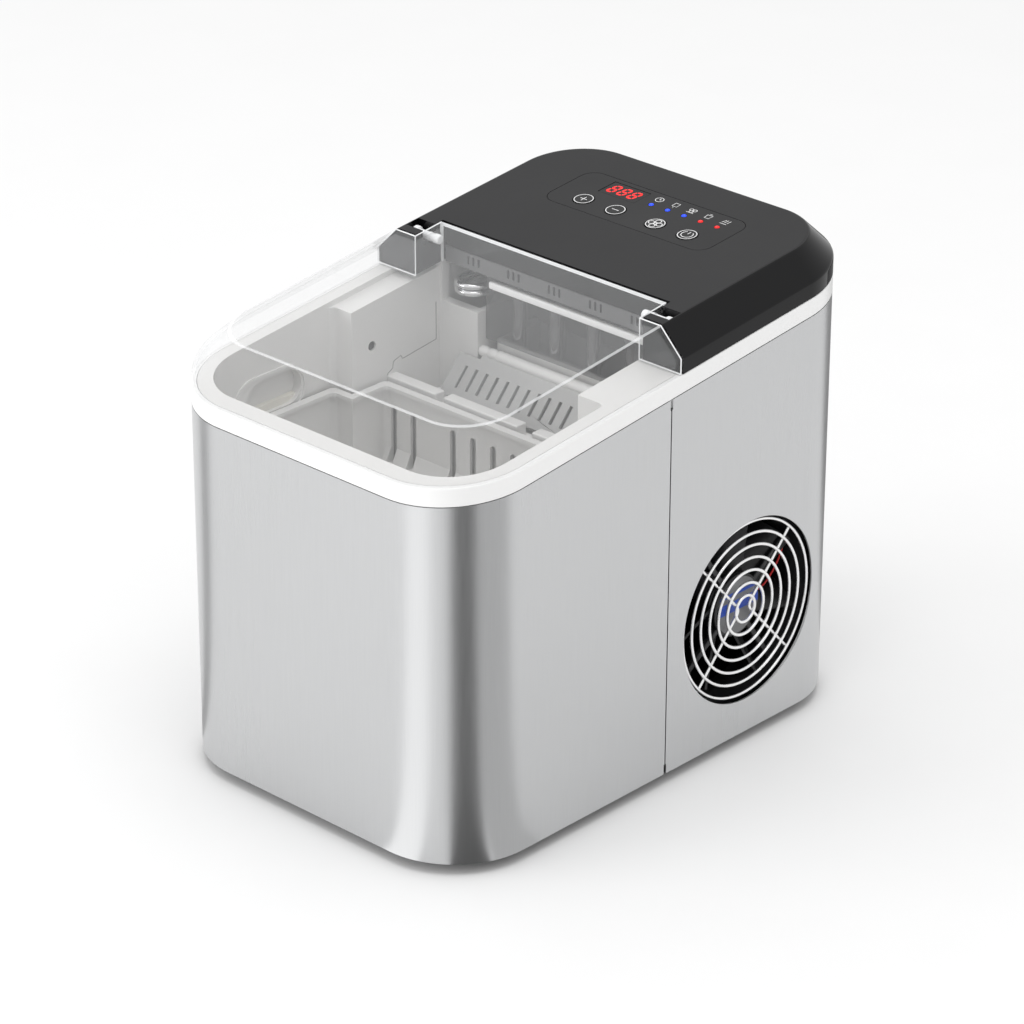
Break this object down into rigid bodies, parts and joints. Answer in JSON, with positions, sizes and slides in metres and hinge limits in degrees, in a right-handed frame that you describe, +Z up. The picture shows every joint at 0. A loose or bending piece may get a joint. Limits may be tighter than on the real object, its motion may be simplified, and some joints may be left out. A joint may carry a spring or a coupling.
{
  "type": "countertop ice maker",
  "caption": "Countertop ice maker with a stainless body, clear hinged lid over a white ice bin and basket, black control cover and side fan grille.",
  "frame": {"origin": "bottom centre of the machine, on the plane of its feet", "axes": "+Z up, +X to the machine's right as seen from the front, front towards -Y"},
  "size_m": [0.23, 0.334, 0.2878],
  "materials": {
    "steel": "vertically brushed",
    "white_plastic": "satin white",
    "black_satin": "fine satin",
    "black_gloss": "gloss",
    "clear": "clear polycarbonate",
    "smoked": "smoked translucent plastic",
    "chrome": "polished",
    "copper": "bare copper",
    "aluminium": "satin",
    "rubber": "matt",
    "dark_plastic": "satin",
    "grey_plastic": "satin grey",
    "board": "solder mask",
    "foam": "foam or silicone",
    "black_paint": "black enamel",
    "blue_light": "lit indicator",
    "red_light": "lit indicator"
  },
  "bodies": {
    "machine": {"front_shell": "steel", "rear_shell": "steel", "top_rim": "white_plastic", "tub_liner": "white_plastic", "drain_spout": "white_plastic", "control_cover": "black_satin", "panel_overlay": "black_satin", "ice_sensor": "black_gloss", "display_module": "black_gloss", "evaporator_shield": "smoked", "refrigerant_loop": "chrome", "fan_grille": "chrome", "base_screw_front_left": "chrome", "base_screw_front_right": "chrome", "base_screw_rear_left": "chrome", "base_screw_rear_right": "chrome", "discharge_pipe": "copper", "suction_pipe": "copper", "filter_drier": "copper", "evaporator": "aluminium", "tray_motor": "aluminium", "condenser": "aluminium", "hot_gas_valve": "aluminium", "foot_front_left": "rubber", "foot_front_right": "rubber", "foot_rear_left": "rubber", "foot_rear_right": "rubber", "compressor_grommet_1": "rubber", "compressor_grommet_2": "rubber", "compressor_grommet_3": "rubber", "seam_strip_left": "dark_plastic", "seam_strip_right": "dark_plastic", "fan_frame": "dark_plastic", "water_pump": "dark_plastic", "power_inlet": "dark_plastic", "chamber_hood": "grey_plastic", "control_board": "board", "power_board": "board", "tub_insulation": "foam", "pump_hose": "foam", "base_pan": "black_paint", "compressor": "black_paint", "compressor_plate": "black_paint", "led_spare": "blue_light", "led_ice_making": "blue_light", "led_clean": "blue_light", "led_ice_full": "red_light", "led_add_water": "red_light"},
    "lid": {"lid": "clear", "lid_pin_left": "clear", "lid_pin_right": "clear"},
    "basket": {"ice_basket": "white_plastic"},
    "pusher": {"ice_pusher": "grey_plastic"},
    "tray": {"water_tray": "white_plastic"},
    "fan": {"fan_rotor": "dark_plastic"},
    "plus_key": {"key_plus": "black_gloss"},
    "minus_key": {"key_minus": "black_gloss"},
    "ice_size_key": {"key_ice_size": "black_gloss"},
    "power_key": {"key_power": "black_gloss"},
    "drain_cap": {"drain_plug": "rubber"}
  },
  "joints": [
    {"name": "lid_hinge", "type": "hinge", "parent": "machine", "child": "lid", "pos_m": [0, 0.0195, 0.26949], "axis": [-1, 0, 0], "range_deg": [0, 100]},
    {"name": "basket_lift", "type": "slide", "parent": "machine", "child": "basket", "axis": [0, 0, 1], "range_m": [0, 0.045]},
    {"name": "tray_tilt", "type": "hinge", "parent": "machine", "child": "tray", "pos_m": [0, 0.076, 0.206], "axis": [1, 0, 0], "range_deg": [0, 50]},
    {"name": "pusher_swing", "type": "hinge", "parent": "machine", "child": "pusher", "pos_m": [0, 0.0326, 0.2035], "axis": [-1, 0, 0], "range_deg": [0, 30]},
    {"name": "fan_spin", "type": "hinge", "parent": "machine", "child": "fan", "pos_m": [0.0968, 0.06975, 0.084], "axis": [1, 0, 0], "continuous": true},
    {"name": "plus_press", "type": "slide", "parent": "machine", "child": "plus_key", "axis": [0, 0.0965, -0.9953], "range_m": [0, 0.0008], "stiffness_N_per_m": 300},
    {"name": "minus_press", "type": "slide", "parent": "machine", "child": "minus_key", "axis": [0, 0.0965, -0.9953], "range_m": [0, 0.0008], "stiffness_N_per_m": 300},
    {"name": "ice_size_press", "type": "slide", "parent": "machine", "child": "ice_size_key", "axis": [0, 0.0965, -0.9953], "range_m": [0, 0.0008], "stiffness_N_per_m": 300},
    {"name": "power_press", "type": "slide", "parent": "machine", "child": "power_key", "axis": [0, 0.0965, -0.9953], "range_m": [0, 0.0008], "stiffness_N_per_m": 300},
    {"name": "drain_pull", "type": "slide", "parent": "machine", "child": "drain_cap", "axis": [-1, 0, 0], "range_m": [0, 0.018]}
  ],
  "couplings": [
    {"joint": "pusher_swing", "follows": "tray_tilt", "ratio": 0.6}
  ]
}
